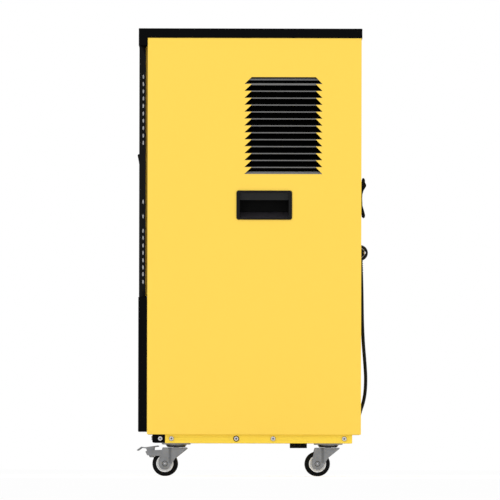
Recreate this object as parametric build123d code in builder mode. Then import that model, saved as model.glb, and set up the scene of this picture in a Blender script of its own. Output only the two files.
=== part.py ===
from build123d import *
import os
from math import atan2, cos, degrees, hypot, pi, radians, sin, sqrt, tan

# Commercial dehumidifier on four casters.
# Frame: +Z up, the front (intake side) faces -Y, the width runs along X.
# Origin: on the floor, in the middle of the footprint. All sizes in millimetres.

os.makedirs("parts", exist_ok=True)

# ---------------------------------------------------------------- driving dimensions
half_width = 240.0          # outer face of each side panel
sheet = 1.2                 # cabinet sheet thickness
side_front, side_rear = -208.6, 219.4
side_bottom, side_top = 83.4, 876.4
rear_face = 201.2           # outer face of the inset rear panel
lid_half = 240.6
lid_front, lid_rear = -226.6, 220.8
lid_bottom, lid_top = 876.4, 895.6
fascia_bottom, fascia_back = 861.2, -209.4
grille_front, grille_back = -225.2, -212.2
grille_low, grille_high = 358.8, 859.6
lower_front, lower_low, lower_high = -226.4, 89.0, 358.0
front_half = 238.0          # half width of the two front pieces
louvre_rows, louvre_top, louvre_low = 14, 798.4, 604.4
louvre_wide = (-15.0, 141.2)
louvre_narrow = (-0.4, 128.0)
cup_y, cup_z, cup_long, cup_tall, cup_corner = 25.1, 542.2, 111.4, 58.4, 4.5
cup_depth = 34.0
base_half, base_bottom, base_top = 234.0, 66.0, 83.4
base_front, base_rear = -172.2, 202.0
bar_front, bar_rear = -197.8, -172.6
fan_z = 701.0
wheel_r, trail = 25.0, 22.0
caster_x = 196.0
front_swivel_y, rear_swivel_y = -150.8, 154.8
cord_d = 7.0
coil_x, coil_z = 110.0, 550.4
coil_in, coil_out = 21.4, 50.3
coil_y0, coil_y1 = 202.9, 217.1
plug_x, plug_y, plug_z, plug_r = -20.0, 218.2, 450.0, 16.0
drain_x, drain_y, drain_r = 150.0, 94.5, 7.0


def slab(x0, x1, y0, y1, z0, z1, mode=Mode.ADD):
    """A block between two corners, in the part that is being built."""
    with Locations(((x0 + x1) / 2, (y0 + y1) / 2, (z0 + z1) / 2)):
        Box(x1 - x0, y1 - y0, z1 - z0, mode=mode)


# ---------------------------------------------------------------- base
with BuildPart() as base_pan:
    slab(-base_half, base_half, base_front, base_rear, base_bottom, base_bottom + 2)
    for s in (-1, 1):
        slab(min(s * base_half, s * (base_half - 1.5)), max(s * base_half, s * (base_half - 1.5)), base_front, base_rear, base_bottom, base_top)
    slab(-base_half, base_half, base_rear - 1.5, base_rear, base_bottom, base_top)
    slab(-base_half, base_half, base_front, base_front + 1.5, base_bottom, base_top)
    # raised pads under the compressor
    with BuildSketch(Plane.XY.offset(base_bottom + 2)):
        with Locations((-70, 60)):
            with PolarLocations(82, 3, 90):
                Circle(16)
    extrude(amount=3)
    # drain passage and screw holes
    with BuildSketch(Plane.XY.offset(base_bottom)):
        with Locations((drain_x, drain_y)):
            Circle(drain_r + 0.8)
    extrude(amount=2, mode=Mode.SUBTRACT)
    for y in (-159.6, -30.0, 43.8, 186.2):
        with BuildSketch(Plane.YZ.offset(-base_half)):
            with Locations((y, 75.0)):
                Circle(2.6)
        extrude(amount=2 * base_half, mode=Mode.SUBTRACT)
base_pan.part.label = "base_pan"
export_step(base_pan.part, "parts/base_pan.step")

with BuildPart() as base_front_bar:
    with BuildSketch(Plane.YZ.offset(-base_half)):
        with Locations(((bar_front + bar_rear) / 2, 75.0)):
            RectangleRounded(bar_rear - bar_front, 16.4, 2.2)
    extrude(amount=2 * base_half)
    with BuildSketch(Plane.YZ.offset(-base_half + 2)):
        with Locations(((bar_front + bar_rear) / 2, 74.0)):
            Rectangle(bar_rear - bar_front - 4, 14.4)
    extrude(amount=2 * base_half - 4, mode=Mode.SUBTRACT)
    with BuildSketch(Plane.YZ.offset(-base_half)):
        with Locations((-182.0, 75.0)):
            Circle(2.6)
    extrude(amount=2 * base_half, mode=Mode.SUBTRACT)
    with BuildSketch(Plane.XZ.offset(-bar_front - 3)):
        with Locations((-215, 76.2), (215, 76.2)):
            Circle(2.6)
    extrude(amount=6, mode=Mode.SUBTRACT)
base_front_bar.part.label = "base_front_bar"
export_step(base_front_bar.part, "parts/base_front_bar.step")

with BuildPart() as drain_outlet:
    with BuildSketch(Plane.XY.offset(56.4)):
        with Locations((drain_x, drain_y)):
            RectangleRounded(34.2, 34.2, 2.5)
            Circle(drain_r, mode=Mode.SUBTRACT)
    extrude(amount=base_bottom - 56.4)
drain_outlet.part.label = "drain_outlet"
export_step(drain_outlet.part, "parts/drain_outlet.step")

# ---------------------------------------------------------------- side panels
pitch = (louvre_top - louvre_low) / louvre_rows
teeth = []
for i in range(louvre_rows):
    teeth.append((louvre_narrow[1], louvre_top - i * pitch))
    teeth.append((louvre_wide[1], louvre_top - (i + 1) * pitch))
for i in reversed(range(louvre_rows)):
    teeth.append((louvre_wide[0], louvre_top - (i + 1) * pitch))
    teeth.append((louvre_narrow[0], louvre_top - i * pitch))

with BuildPart() as side_panel_left:
    with BuildSketch(Plane.YZ.offset(half_width - sheet)):
        with Locations(((side_front + side_rear) / 2, (side_bottom + side_top) / 2)):
            Rectangle(side_rear - side_front, side_top - side_bottom)
        with BuildLine():
            Polyline(*teeth, close=True)
        make_face(mode=Mode.SUBTRACT)
        with Locations((cup_y, cup_z)):
            RectangleRounded(cup_long - 5, cup_tall - 5, 3, mode=Mode.SUBTRACT)
    extrude(amount=sheet)
    slab(226, half_width, side_front, side_front + sheet, side_bottom, side_top)
    # the front return ends in a lip turned forward, which closes the gap behind the grille
    slab(226, 227.2, -212.0, side_front + sheet, 359.4, 859.0)
    slab(228, half_width, side_rear - sheet, side_rear, side_bottom, side_top)
    slab(212, half_width, side_front, side_rear, side_bottom, side_bottom + sheet)
    slab(222, half_width, side_front, side_rear, side_top - sheet, side_top)
    fillet(
        side_panel_left.edges().filter_by(Axis.Z).filter_by_position(Axis.X, half_width - 0.01, half_width + 0.01)
        .filter_by(lambda e: e.length > 500),
        1.1,
    )
side_panel_left.part.label = "side_panel_left"
export_step(side_panel_left.part, "parts/side_panel_left.step")

with BuildPart() as side_panel_right:
    mirror(side_panel_left.part, about=Plane.YZ)
side_panel_right.part.label = "side_panel_right"
export_step(side_panel_right.part, "parts/side_panel_right.step")

# ---------------------------------------------------------------- louvre inserts
frame_y0, frame_y1 = -24.0, 150.0
frame_z0, frame_z1 = 594.0, 809.0
slat_in, slat_out = 222.5, 238.4     # inner and outer edge of a slat, along X
with BuildPart() as louvre_left:
    slab(236.2, 238.7, frame_y0, frame_y1, frame_z0, frame_z1)
    slab(222.0, 236.2, -19.5, 145.7, 599.0, 804.0)
    slab(221.0, 239.0, -16.5, 142.7, 603.0, 799.5, mode=Mode.SUBTRACT)
    # each slat slopes up towards the inside
    with BuildSketch(Plane.XZ.offset(16.8)):
        for i in range(1, louvre_rows):
            z = louvre_top - i * pitch
            with BuildLine():
                Polyline((slat_out, z - 1.1), (slat_out, z + 1.1), (slat_in, z + 13.6), (slat_in, z + 12.0), close=True)
            make_face()
        with BuildLine():
            Polyline((slat_out, 792.2), (slat_out, 793.4), (slat_in, 803.0), (slat_in, 801.6), close=True)
        make_face()
        with BuildLine():
            Polyline((slat_out, 603.0), (slat_out, 606.4), (slat_out - 4.4, 609.6), (slat_in, 618.6), (slat_in, 603.0), close=True)
        make_face()
    extrude(amount=-159.8)
louvre_left.part.label = "louvre_left"
export_step(louvre_left.part, "parts/louvre_left.step")

with BuildPart() as louvre_right:
    mirror(louvre_left.part, about=Plane.YZ)
louvre_right.part.label = "louvre_right"
export_step(louvre_right.part, "parts/louvre_right.step")

# ---------------------------------------------------------------- carrying-handle cups
with BuildPart() as handle_cup_left:
    with BuildSketch(Plane.YZ.offset(half_width)):
        with Locations((cup_y, cup_z)):
            RectangleRounded(cup_long, cup_tall, cup_corner)
    extrude(amount=1.6)
    with BuildSketch(Plane.YZ.offset(half_width)):
        with Locations((cup_y, cup_z)):
            RectangleRounded(cup_long - 5.6, cup_tall - 5.6, 3)
    extrude(amount=-cup_depth)
    # finger pocket: mouth under the grip lip, taller behind it
    with BuildSketch(Plane.YZ.offset(half_width + 1.6)):
        with Locations((cup_y, cup_z - 0.9)):
            RectangleRounded(98.0, 50.4, 3)
    extrude(amount=-(cup_depth - 0.4), mode=Mode.SUBTRACT)
    # the grip lip hangs from the top edge, set back behind the rim
    with BuildSketch(Plane.XZ.offset(-cup_y + 49.2)):
        with BuildLine():
            Polyline((half_width - 2.0, 568.0), (half_width - 6.0, 552.4), (half_width - 9.5, 552.4), (half_width - 9.5, 568.0), close=True)
        make_face()
        # the floor slopes up towards the back
        with BuildLine():
            Polyline((half_width - 3.0, 515.8), (half_width - cup_depth + 1.0, 529.0), (half_width - cup_depth + 1.0, 515.8), close=True)
        make_face()
    extrude(amount=-98.4)
handle_cup_left.part.label = "handle_cup_left"
export_step(handle_cup_left.part, "parts/handle_cup_left.step")

with BuildPart() as handle_cup_right:
    mirror(handle_cup_left.part, about=Plane.YZ)
handle_cup_right.part.label = "handle_cup_right"
export_step(handle_cup_right.part, "parts/handle_cup_right.step")

# ---------------------------------------------------------------- rear panel, set in behind the side panels
with BuildPart() as rear_panel:
    slab(-238.4, 238.4, rear_face - sheet, rear_face, 84.8, 875.0)
    for s in (-1, 1):
        slab(min(s * 238.4, s * 237.2), max(s * 238.4, s * 237.2), rear_face - 12, rear_face, 84.8, 875.0)
    with BuildSketch(Plane.XZ.offset(-rear_face)):
        with Locations((156.6, 134.0)):
            Circle(8)
    extrude(amount=sheet, mode=Mode.SUBTRACT)
rear_panel.part.label = "rear_panel"
export_step(rear_panel.part, "parts/rear_panel.step")

# ---------------------------------------------------------------- top lid with its control fascia
with BuildPart() as top_lid:
    slab(-lid_half, lid_half, lid_front, lid_rear, fascia_bottom, lid_top)
    slab(-lid_half - 1, lid_half + 1, fascia_back, lid_rear + 1, fascia_bottom - 1, lid_bottom, mode=Mode.SUBTRACT)
    fillet(top_lid.edges().filter_by(Axis.Z).group_by(Axis.Y)[0], 1.6)
    fillet(top_lid.edges().filter_by(Axis.Z).group_by(Axis.Y)[-1], 1.6)
    fillet(top_lid.faces().sort_by(Axis.Z)[-1].edges(), 1.0)
    slab(-lid_half + 1.4, lid_half - 1.4, fascia_back, lid_rear - 1.4, lid_bottom - 1, lid_top - 1.6, mode=Mode.SUBTRACT)
    slab(-lid_half + 1.4, lid_half - 1.4, lid_front + 1.6, fascia_back + 1, fascia_bottom + 1.4, lid_top - 1.6, mode=Mode.SUBTRACT)
    # window for the controls
    slab(-110.0, 110.0, lid_front - 1, lid_front + 3, 866.0, 891.0, mode=Mode.SUBTRACT)
top_lid.part.label = "top_lid"
export_step(top_lid.part, "parts/top_lid.step")

# ---------------------------------------------------------------- controls
bezel_front = lid_front + 1.2
button_xs = {"button_power": 8.0, "button_mode": 34.0, "button_up": 60.0, "button_down": 86.0}
with BuildPart() as control_bezel:
    slab(-109.7, 109.7, bezel_front, bezel_front + 2.4, 866.3, 890.7)
    slab(-113.0, 113.0, lid_front + 1.8, bezel_front + 2.4, 863.4, 893.4)
    slab(-109.7, 109.7, bezel_front, bezel_front + 2.4, 866.3, 890.7)
    with BuildSketch(Plane.XZ.offset(-bezel_front + 1)):
        with Locations(*[(x, 878.5) for x in button_xs.values()]):
            Circle(6.4)
        with Locations((-60.0, 878.5)):
            Rectangle(76.4, 17.0)
    extrude(amount=-6, mode=Mode.SUBTRACT)
control_bezel.part.label = "control_bezel"
export_step(control_bezel.part, "parts/control_bezel.step")

with BuildPart() as display_window:
    slab(-98.0, -22.0, bezel_front + 0.3, bezel_front + 1.9, 870.2, 886.8)
    slab(-101.0, -19.0, bezel_front + 2.4, bezel_front + 6.0, 868.0, 889.0)
    slab(-98.0, -22.0, bezel_front + 1.9, bezel_front + 2.4, 870.2, 886.8)
display_window.part.label = "display_window"
export_step(display_window.part, "parts/display_window.step")

for button_name, x in button_xs.items():
    with BuildPart() as button:
        with BuildSketch(Plane.XZ.offset(-(bezel_front + 4.0))):
            with Locations((x, 878.5)):
                Circle(6.0)
        extrude(amount=5.0)
        fillet(button.edges().sort_by(Axis.Y)[0], 0.5)
        with BuildSketch(Plane.XZ.offset(-(bezel_front + 4.0))):
            with Locations((x, 878.5)):
                Circle(7.2)
        extrude(amount=1.2)
    button.part.label = button_name
    export_step(button.part, f"parts/{button_name}.step")

# ---------------------------------------------------------------- inner front frame
stud_places = [(-216, 380), (216, 380), (-216, 820), (216, 820)]
with BuildPart() as front_frame:
    for s in (-1, 1):
        # folded posts: a face strip and a return
        slab(min(s * 202.0, s * 237.4), max(s * 202.0, s * 237.4), -206.4, -205.2, 84.8, 874.8)
        slab(min(s * 237.4, s * 236.2), max(s * 237.4, s * 236.2), -206.4, -195.0, 84.8, 874.8)
    # rails, butt-welded between the posts
    for z0, z1 in ((84.8, 112.0), (322.0, 364.0), (846.0, 874.8)):
        slab(-201.95, 201.95, -206.4, -205.2, z0, z1)
    # studs that the intake grille's sockets snap over
    with BuildSketch(Plane.XZ.offset(206.0)):
        with Locations(*stud_places):
            Circle(4.4)
    extrude(amount=14.0)
front_frame.part.label = "front_frame"
export_step(front_frame.part, "parts/front_frame.step")

# ---------------------------------------------------------------- pull-off intake grille
return_hole_zs = [(476.2 - y) * 2 for y in (77, 84.2, 91.5, 98.6, 106, 113.6, 120.9, 128.3, 135.8, 143,
                                           202, 216.5, 231, 238, 245.7, 253, 260.5, 267.5, 274.5, 282)]
with BuildPart() as intake_grille:
    slab(-front_half, front_half, grille_front, grille_back, grille_low, grille_high)
    fillet(intake_grille.edges().filter_by(Axis.Z).group_by(Axis.Y)[0], 1.1)
    slab(-front_half + sheet, front_half - sheet, grille_front + sheet, grille_back + 1, grille_low + sheet, grille_high - sheet, mode=Mode.SUBTRACT)
    # air slots in the face
    with BuildSketch(Plane.XZ.offset(-grille_front - sheet)):
        with Locations((0, 598.5)):
            with GridLocations(37.0, 18.0, 12, 25):
                SlotOverall(30.0, 7.5)
    extrude(amount=sheet + 1, mode=Mode.SUBTRACT)
    # one column of slots in each side return
    with BuildSketch(Plane.YZ.offset(-front_half - 1)):
        with Locations(*[(-217.2, z) for z in return_hole_zs]):
            SlotOverall(7.0, 4.0, rotation=90)
    extrude(amount=2 * front_half + 2, mode=Mode.SUBTRACT)
    # sockets that go over the frame's studs
    with BuildSketch(Plane.XZ.offset(-grille_front - sheet)):
        with Locations(*stud_places):
            Circle(7.5)
            Circle(4.6, mode=Mode.SUBTRACT)
    extrude(amount=-10.8)
intake_grille.part.label = "intake_grille"
export_step(intake_grille.part, "parts/intake_grille.step")

with BuildPart() as grille_pull:
    with BuildSketch(Plane.YZ.offset(-52)):
        with BuildLine():
            Polyline((grille_front, 647.4), (-228.6, 646.6), (-229.6, 644.2), (-227.2, 632.0), (-225.9, 623.0), (grille_front, 621.4), close=True)
        make_face()
    extrude(amount=104)
    fillet(grille_pull.edges().filter_by(lambda e: e.length > 100).sort_by(Axis.Y)[0], 0.4)
grille_pull.part.label = "grille_pull"
export_step(grille_pull.part, "parts/grille_pull.step")

with BuildPart() as air_filter:
    slab(-236.2, 236.2, -222.6, -214.6, 363.0, 854.0)
    with BuildSketch(Plane.XZ.offset(222.7)):
        with Locations((0, 608.5)):
            with GridLocations(134.0, 155.0, 3, 3):
                RectangleRounded(126.0, 147.0, 3)
    extrude(amount=-3.0, mode=Mode.SUBTRACT)
    with BuildSketch(Plane.XZ.offset(214.5)):
        with Locations((0, 608.5)):
            with GridLocations(134.0, 155.0, 3, 3):
                RectangleRounded(126.0, 147.0, 3)
    extrude(amount=3.0, mode=Mode.SUBTRACT)
    # clearance for the grille's sockets
    with BuildSketch(Plane.XZ.offset(214.0)):
        with Locations(*stud_places):
            Circle(8.2)
    extrude(amount=9.0, mode=Mode.SUBTRACT)
air_filter.part.label = "air_filter"
export_step(air_filter.part, "parts/air_filter.step")

# ---------------------------------------------------------------- lower front panel
with BuildPart() as lower_front_panel:
    slab(-front_half, front_half, lower_front, -208.8, lower_low, lower_high)
    fillet(lower_front_panel.edges().filter_by(Axis.Z).group_by(Axis.Y)[0], 1.1)
    slab(-front_half + sheet, front_half - sheet, lower_front + sheet, -208.0, lower_low + sheet, lower_high - sheet, mode=Mode.SUBTRACT)
lower_front_panel.part.label = "lower_front_panel"
export_step(lower_front_panel.part, "parts/lower_front_panel.step")

# ---------------------------------------------------------------- inner deck and drip tray
pipe_holes = [(-226, -124), (-226, -174), (226, -124), (226, -174)]
with BuildPart() as mid_deck:
    slab(-236.0, 236.0, -204.8, 199.6, 340.8, 342.3)
    slab(-236.0, 236.0, 198.1, 199.6, 328.0, 342.3)
    slab(-236.0, 236.0, -204.8, -203.3, 328.0, 342.3)
    with BuildSketch(Plane.XY.offset(340.0)):
        with Locations(*pipe_holes):
            Circle(6.5)
        with Locations((150, -150)):
            Circle(10)
    extrude(amount=3, mode=Mode.SUBTRACT)
mid_deck.part.label = "mid_deck"
export_step(mid_deck.part, "parts/mid_deck.step")

with BuildPart() as drip_tray:
    slab(-210, 210, -203.0, -97.0, 342.3, 360.0)
    slab(-208.5, 208.5, -201.5, -98.5, 344.0, 361.0, mode=Mode.SUBTRACT)
    with BuildSketch(Plane.XY.offset(344.0)):
        with Locations((150, -150)):
            Circle(8)
    extrude(amount=-18)
    with BuildSketch(Plane.XY.offset(345.0)):
        with Locations((150, -150)):
            Circle(6.2)
    extrude(amount=-20, mode=Mode.SUBTRACT)
drip_tray.part.label = "drip_tray"
export_step(drip_tray.part, "parts/drip_tray.step")

with BuildPart() as drain_hose:
    with BuildLine() as hose_way:
        FilletPolyline((150, -150, 326), (150, -150, 180), (150, drain_y, 120), (drain_x, drain_y, 68), radius=30)
    with BuildSketch(Plane(origin=(150, -150, 326), z_dir=(0, 0, -1))):
        Circle(9)
        Circle(6.8, mode=Mode.SUBTRACT)
    sweep()
drain_hose.part.label = "drain_hose"
export_step(drain_hose.part, "parts/drain_hose.step")

# ---------------------------------------------------------------- coils
def finned_coil(y0, y1, bend_zs):
    with BuildPart() as coil:
        slab(-200, 200, y0, y1, 362.0, 840.0)
        for s in (-1, 1):
            slab(min(s * 200, s * 201.5), max(s * 200, s * 201.5), y0 - 2, y1 + 2, 361.0, 842.0)
        for s in (-1, 1):
            for z in bend_zs[0 if s < 0 else 1]:
                with BuildSketch(Plane(origin=(s * 201.5, (y0 + y1) / 2, z - 14), x_dir=(0, 1, 0), z_dir=(s, 0, 0))):
                    Circle(4)
                revolve(axis=Axis((s * 201.5, (y0 + y1) / 2, z), (0, 1, 0)), revolution_arc=-180 * s)
    return coil


bends = ([430 + 60 * i for i in range(7)], [460 + 60 * i for i in range(6)])
evaporator = finned_coil(-196.0, -152.0, bends)
evaporator.part.label = "evaporator"
export_step(evaporator.part, "parts/evaporator.step")
condenser = finned_coil(-146.0, -102.0, bends)
condenser.part.label = "condenser"
export_step(condenser.part, "parts/condenser.step")

# ---------------------------------------------------------------- fan: shroud with bell mouth and motor frame, impeller, motor
with BuildPart() as fan_shroud:
    slab(-236.4, 236.4, -84.0, -82.5, 342.3, 874.0)
    with BuildSketch(Plane.XZ.offset(84.0)):
        with Locations((0, fan_z)):
            Circle(100)
    extrude(amount=-1.5, mode=Mode.SUBTRACT)
    with BuildSketch(Plane.XZ.offset(84.0)):
        with Locations((0, fan_z)):
            Circle(103)
            Circle(101, mode=Mode.SUBTRACT)
    extrude(amount=-16.4)
    with BuildSketch(Plane.XZ.offset(84.0)):
        with Locations((0, fan_z)):
            Circle(102)
            Circle(100, mode=Mode.SUBTRACT)
    extrude(amount=-1.5)
    with BuildSketch(Plane.XZ.offset(82.5)):
        with Locations((0, fan_z)):
            with GridLocations(236, 236, 2, 2):
                Circle(5)
    extrude(amount=-166.5)
    with BuildSketch(Plane.XZ.offset(-84.0)):
        with Locations((0, fan_z)):
            RectangleRounded(260, 260, 20)
            with GridLocations(124, 124, 2, 2):
                RectangleRounded(70, 70, 8, mode=Mode.SUBTRACT)
            Circle(22, mode=Mode.SUBTRACT)
    extrude(amount=-3)
fan_shroud.part.label = "fan_shroud"
export_step(fan_shroud.part, "parts/fan_shroud.step")

with BuildPart() as fan_motor:
    with BuildSketch(Plane.XZ.offset(-28.0)):
        with Locations((0, fan_z)):
            Circle(48)
    extrude(amount=-56)
    fillet(fan_motor.edges().group_by(Axis.Y)[0], 5)
    with BuildSketch(Plane.XZ.offset(-84.0)):
        with Locations((0, fan_z)):
            Circle(20)
    extrude(amount=-14)
    with BuildSketch(Plane.XZ.offset(-27.0)):
        with Locations((0, fan_z)):
            Circle(5.05)
    extrude(amount=-40, mode=Mode.SUBTRACT)
fan_motor.part.label = "fan_motor"
export_step(fan_motor.part, "parts/fan_motor.step")

with BuildPart() as fan_impeller:
    with BuildSketch(Plane.XZ.offset(-16.0)):
        with Locations((0, fan_z)):
            Circle(145)
    extrude(amount=-2)
    with BuildSketch(Plane.XZ.offset(68.0)):
        with Locations((0, fan_z)):
            Circle(145)
            Circle(107, mode=Mode.SUBTRACT)
    extrude(amount=-2)
    with BuildSketch(Plane(origin=(0, 16.0, fan_z), x_dir=(1, 0, 0), z_dir=(0, -1, 0))):
        for i in range(8):
            a = 2 * pi * i / 8
            # backward-curved blade, 2.2 thick
            near = [((r + t) * cos(a + w), (r + t) * sin(a + w)) for r, w, t in ((62, 0, 0), (104, 0.34, 0.9), (143, 0.86, 0))]
            far = [((r - t) * cos(a + w + 0.022), (r - t) * sin(a + w + 0.022)) for r, w, t in ((62, 0, 0), (104, 0.34, 0.9), (143, 0.86, 0))]
            with BuildLine():
                ThreePointArc(near[0], near[1], near[2])
                Line(near[2], far[2])
                ThreePointArc(far[2], far[1], far[0])
                Line(far[0], near[0])
            make_face()
    extrude(amount=82.5)
    with BuildSketch(Plane.XZ.offset(-18.0)):
        with Locations((0, fan_z)):
            Circle(30)
    extrude(amount=26)
    with BuildSketch(Plane.XZ.offset(-18.0)):
        with Locations((0, fan_z)):
            Circle(5.0)
    extrude(amount=-44)
fan_impeller.part.label = "fan_impeller"
export_step(fan_impeller.part, "parts/fan_impeller.step")

# ---------------------------------------------------------------- compressor with its accumulator
with BuildPart() as compressor:
    with BuildSketch(Plane.XZ.offset(-60)):
        with BuildLine():
            Polyline((-70, 86), (-70 + 52, 86), (-70 + 64, 98), (-70 + 64, 268), (-70 + 50, 292), (-70 + 14, 300), (-70, 300), close=True)
        make_face()
    revolve(axis=Axis((-70, 60, 0), (0, 0, 1)))
    with BuildSketch(Plane.XY.offset(83.0)):
        with Locations((-70, 60)):
            with PolarLocations(82, 3, 90):
                Circle(13)
            with PolarLocations(60, 3, 90):
                Rectangle(44, 26)
            Circle(50)
            with PolarLocations(82, 3, 90):
                Circle(5, mode=Mode.SUBTRACT)
    extrude(amount=3.0)
    with BuildSketch(Plane.XZ.offset(-60)):
        with BuildLine():
            Polyline((-168, 128), (-154, 132), (-144, 144), (-144, 254), (-154, 266), (-168, 272), close=True)
        make_face()
    revolve(axis=Axis((-168, 60, 0), (0, 0, 1)))
    slab(-150, -125, 52, 68, 230, 246)
    with BuildSketch(Plane.XY.offset(104)):
        with Locations((-168, 60)):
            Circle(5)
    extrude(amount=30)
    slab(-173, -126, 55, 65, 98, 108)
compressor.part.label = "compressor"
export_step(compressor.part, "parts/compressor.step")

with BuildPart() as compressor_mounts:
    with BuildSketch(Plane.XY.offset(base_bottom + 5)):
        with Locations((-70, 60)):
            with PolarLocations(82, 3, 90):
                Circle(12)
    extrude(amount=12)
    with BuildSketch(Plane.XY.offset(base_bottom + 5)):
        with Locations((-70, 60)):
            with PolarLocations(82, 3, 90):
                Circle(4.9)
    extrude(amount=22)
    with BuildSketch(Plane.XY.offset(86.0)):
        with Locations((-70, 60)):
            with PolarLocations(82, 3, 90):
                Circle(8)
    extrude(amount=3)
compressor_mounts.part.label = "compressor_mounts"
export_step(compressor_mounts.part, "parts/compressor_mounts.step")


def pipe(points, radius, bend):
    first = Vector(*points[1]) - Vector(*points[0])
    with BuildPart() as tube:
        with BuildLine():
            FilletPolyline(*points, radius=bend)
        with BuildSketch(Plane(origin=points[0], z_dir=first)):
            Circle(radius)
        sweep()
    return tube


discharge_pipe = pipe([(-70, 60, 300), (-70, 60, 325), (-70, -124, 325), (-226, -124, 325), (-226, -124, 380), (-201.5, -124, 380)], 4.0, 11.0)
discharge_pipe.part.label = "discharge_pipe"
export_step(discharge_pipe.part, "parts/discharge_pipe.step")
suction_pipe = pipe([(-201.5, -174, 380), (-226, -174, 380), (-226, -174, 305), (-226, 60, 305), (-168, 60, 305), (-168, 60, 272)], 4.5, 11.0)
suction_pipe.part.label = "suction_pipe"
export_step(suction_pipe.part, "parts/suction_pipe.step")

with BuildPart() as liquid_line:
    with BuildLine():
        FilletPolyline((201.5, -124, 380), (226, -124, 380), (226, -124, 140), (226, -174, 140), (226, -174, 380), (201.5, -174, 380), radius=11.0)
    with BuildSketch(Plane(origin=(201.5, -124, 380), z_dir=(1, 0, 0))):
        Circle(3.2)
    sweep()
    with BuildSketch(Plane.XZ.offset(124)):
        with BuildLine():
            Polyline((226, 196), (230, 196), (235.2, 204), (235.2, 276), (230, 284), (226, 284), close=True)
        make_face()
    revolve(axis=Axis((226, -124, 0), (0, 0, 1)))
liquid_line.part.label = "liquid_line"
export_step(liquid_line.part, "parts/liquid_line.step")

with BuildPart() as electrical_box:
    slab(22, 124, -60, 110, 90.0, 286.0)
    fillet(electrical_box.edges().filter_by(Axis.Z), 3)
    slab(20, 126, -62, 112, 280.0, 292.0)
    slab(40, 106, -40, 90, 68.0, 90.0)
electrical_box.part.label = "electrical_box"
export_step(electrical_box.part, "parts/electrical_box.step")

# ---------------------------------------------------------------- rear: cleat, plug clip, gland
with BuildPart() as cord_cleat:
    with BuildSketch(Plane.XZ.offset(-rear_face)):
        with Locations((coil_x, 558.4)):
            Circle(13.4)
    extrude(amount=-18.8)
    # horn plate, flaring away from the panel at both ends
    with BuildSketch(Plane.YZ.offset(coil_x - 13)):
        with BuildLine():
            Polyline(
                (218.9, 548.0), (219.2, 534.0), (221.0, 521.0), (224.0, 518.0), (227.2, 520.0), (227.6, 524.0), (225.8, 532.0), (222.4, 543.0),
                (221.8, 558.0), (222.2, 566.0), (224.6, 574.0), (229.6, 582.0), (229.6, 586.0), (227.4, 589.4), (227.2, 595.0), (225.4, 598.6),
                (222.2, 598.6), (220.6, 594.0), (219.6, 582.0), (218.9, 568.0), close=True,
            )
        make_face()
    extrude(amount=26)
    fillet(cord_cleat.edges().filter_by(Axis.X).sort_by(Axis.Y)[-2:], 0.6)
cord_cleat.part.label = "cord_cleat"
export_step(cord_cleat.part, "parts/cord_cleat.step")

with BuildPart() as plug_clip:
    with BuildSketch(Plane.YZ.offset(-33)):
        with Locations(((rear_face + 219.0) / 2, plug_z)):
            Rectangle(219.0 - rear_face, 36.0)
        with Locations((plug_y, plug_z)):
            Circle(plug_r, mode=Mode.SUBTRACT)
    extrude(amount=6.5)
plug_clip.part.label = "plug_clip"
export_step(plug_clip.part, "parts/plug_clip.step")

gland_x, gland_y, gland_top = 156.6, 209.6, 178.0
with BuildPart() as cord_gland:
    with BuildSketch(Plane.XY.offset(118)):
        with Locations((gland_x, (rear_face + 217.0) / 2)):
            RectangleRounded(24, 217.0 - rear_face, 3)
    extrude(amount=32)
    fillet(cord_gland.faces().sort_by(Axis.Z)[0].edges().filter_by(Axis.X).sort_by(Axis.Y)[-1], 4)
    with BuildSketch(Plane.XZ.offset(-rear_face)):
        with Locations((gland_x, 134.0)):
            Circle(7.8)
    extrude(amount=12)
    with BuildSketch(Plane.XY.offset(150)):
        with Locations((gland_x, gland_y)):
            Circle(6.6)
    with BuildSketch(Plane.XY.offset(gland_top)):
        with Locations((gland_x, gland_y)):
            Circle(4.4)
    loft()
cord_gland.part.label = "cord_gland"
export_step(cord_gland.part, "parts/cord_gland.step")

# ---------------------------------------------------------------- mains lead
def corner_radii(points):
    """The largest arcs that the two runs at each corner leave room for."""
    found = []
    for a, b, c in zip(points, points[1:], points[2:]):
        one, two = Vector(*b) - Vector(*a), Vector(*c) - Vector(*b)
        turn = radians(one.get_angle(two))
        found.append(0.45 * min(one.length, two.length) / tan(turn / 2))
    return found


def cord_tube(points, what):
    radii = corner_radii(points)
    print(what, "radii", [round(r, 1) for r in radii])
    first = Vector(*points[1]) - Vector(*points[0])
    with BuildPart() as tube:
        with BuildLine() as way:
            FilletPolyline(*points, radius=radii)
        with BuildSketch(Plane(origin=points[0], z_dir=first)):
            Circle(cord_d / 2)
        sweep()
    length = way.wires()[0].length if way.wires() else sum(e.length for e in way.edges())
    print(what, "length", round(length, 1), "volume/section/length", round(tube.part.volume / (pi * cord_d**2 / 4) / length, 4))
    return tube


lead_points = [
    (156.6, 209.6, 178.0), (156.6, 209.6, 230.0), (157.2, 209.2, 292.0), (157.8, 208.5, 352.0),
    (157.9, 207.7, 410.0), (157.4, 207.0, 468.0), (156.8, 206.6, 526.0),
]
tail_points = [
    (63.3, 213.6, 526.0), (62.6, 213.4, 470.0), (61.8, 213.1, 412.0), (61.2, 212.7, 354.0), (60.9, 212.3, 296.0),
    (60.9, 211.9, 238.0), (61.2, 211.6, 180.0), (61.6, 211.5, 125.0), (45.6, 211.7, 102.6), (19.6, 212.2, 94.0),
    (-6.4, 213.8, 102.0), (-22.2, 217.2, 124.0), (-23.4, 228.2, 156.0), (-23.4, 231.0, 194.0), (-22.8, 228.4, 232.0),
    (-21.8, 225.0, 272.0), (-20.8, 223.2, 314.0), (-20.2, 222.6, 352.0), (-19.9, 222.1, 382.0), (-20.0, 221.2, 409.0),
]
cord_lead = cord_tube(lead_points, "lead")
cord_lead.part.label = "cord_lead"
export_step(cord_lead.part, "parts/cord_lead.step")
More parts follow.
